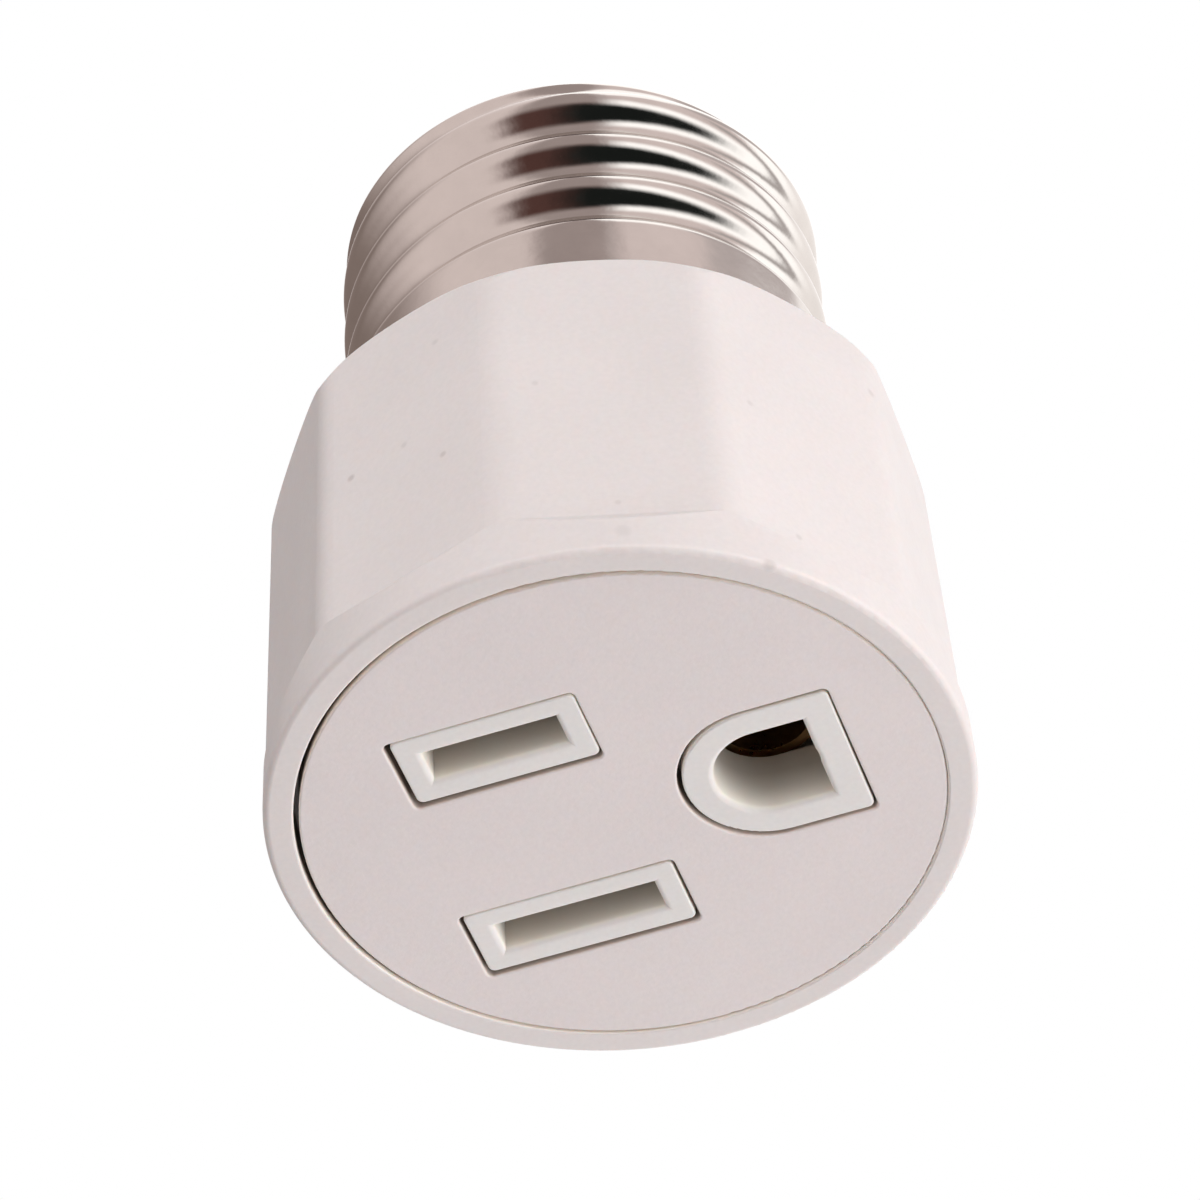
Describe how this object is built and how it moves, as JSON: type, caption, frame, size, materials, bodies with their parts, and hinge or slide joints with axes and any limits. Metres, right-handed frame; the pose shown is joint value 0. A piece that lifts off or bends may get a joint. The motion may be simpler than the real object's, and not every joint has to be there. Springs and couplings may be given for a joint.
{
  "type": "lamp socket outlet adapter",
  "caption": "Screw-in lamp socket adapter: a plated Edison screw base at one end, a grounded outlet face at the other, in a faceted off-white moulded housing.",
  "frame": {"origin": "centre of the outlet face, on the plane of the rim that the adapter stands on", "axes": "+Z along the screw base's axis, from the outlet face to the centre contact; +X towards the ground hole; line slot at -Y"},
  "size_m": [0.0352, 0.0352, 0.0481],
  "materials": {
    "housing_plastic": "fine moulded satin, warm off-white",
    "plate_plastic": "fine moulded matte, warm off-white",
    "carrier_plastic": "smooth satin, cool grey-white",
    "contact_brass": "stamped, slightly tarnished",
    "nickel_plate": "bright nickel plate over rolled sheet",
    "insulator_black": "smooth black"
  },
  "bodies": {
    "root": {"housing": "housing_plastic", "face_plate": "plate_plastic", "contact_carrier": "carrier_plastic", "contact_retainer": "carrier_plastic", "line_contact": "contact_brass", "neutral_contact": "contact_brass", "ground_contact": "contact_brass", "line_strap": "contact_brass", "neutral_strap": "contact_brass", "line_rivet": "contact_brass", "neutral_rivet": "contact_brass", "screw_shell": "nickel_plate", "tip_insulator": "insulator_black", "centre_contact": "nickel_plate"}
  },
  "joints": []
}
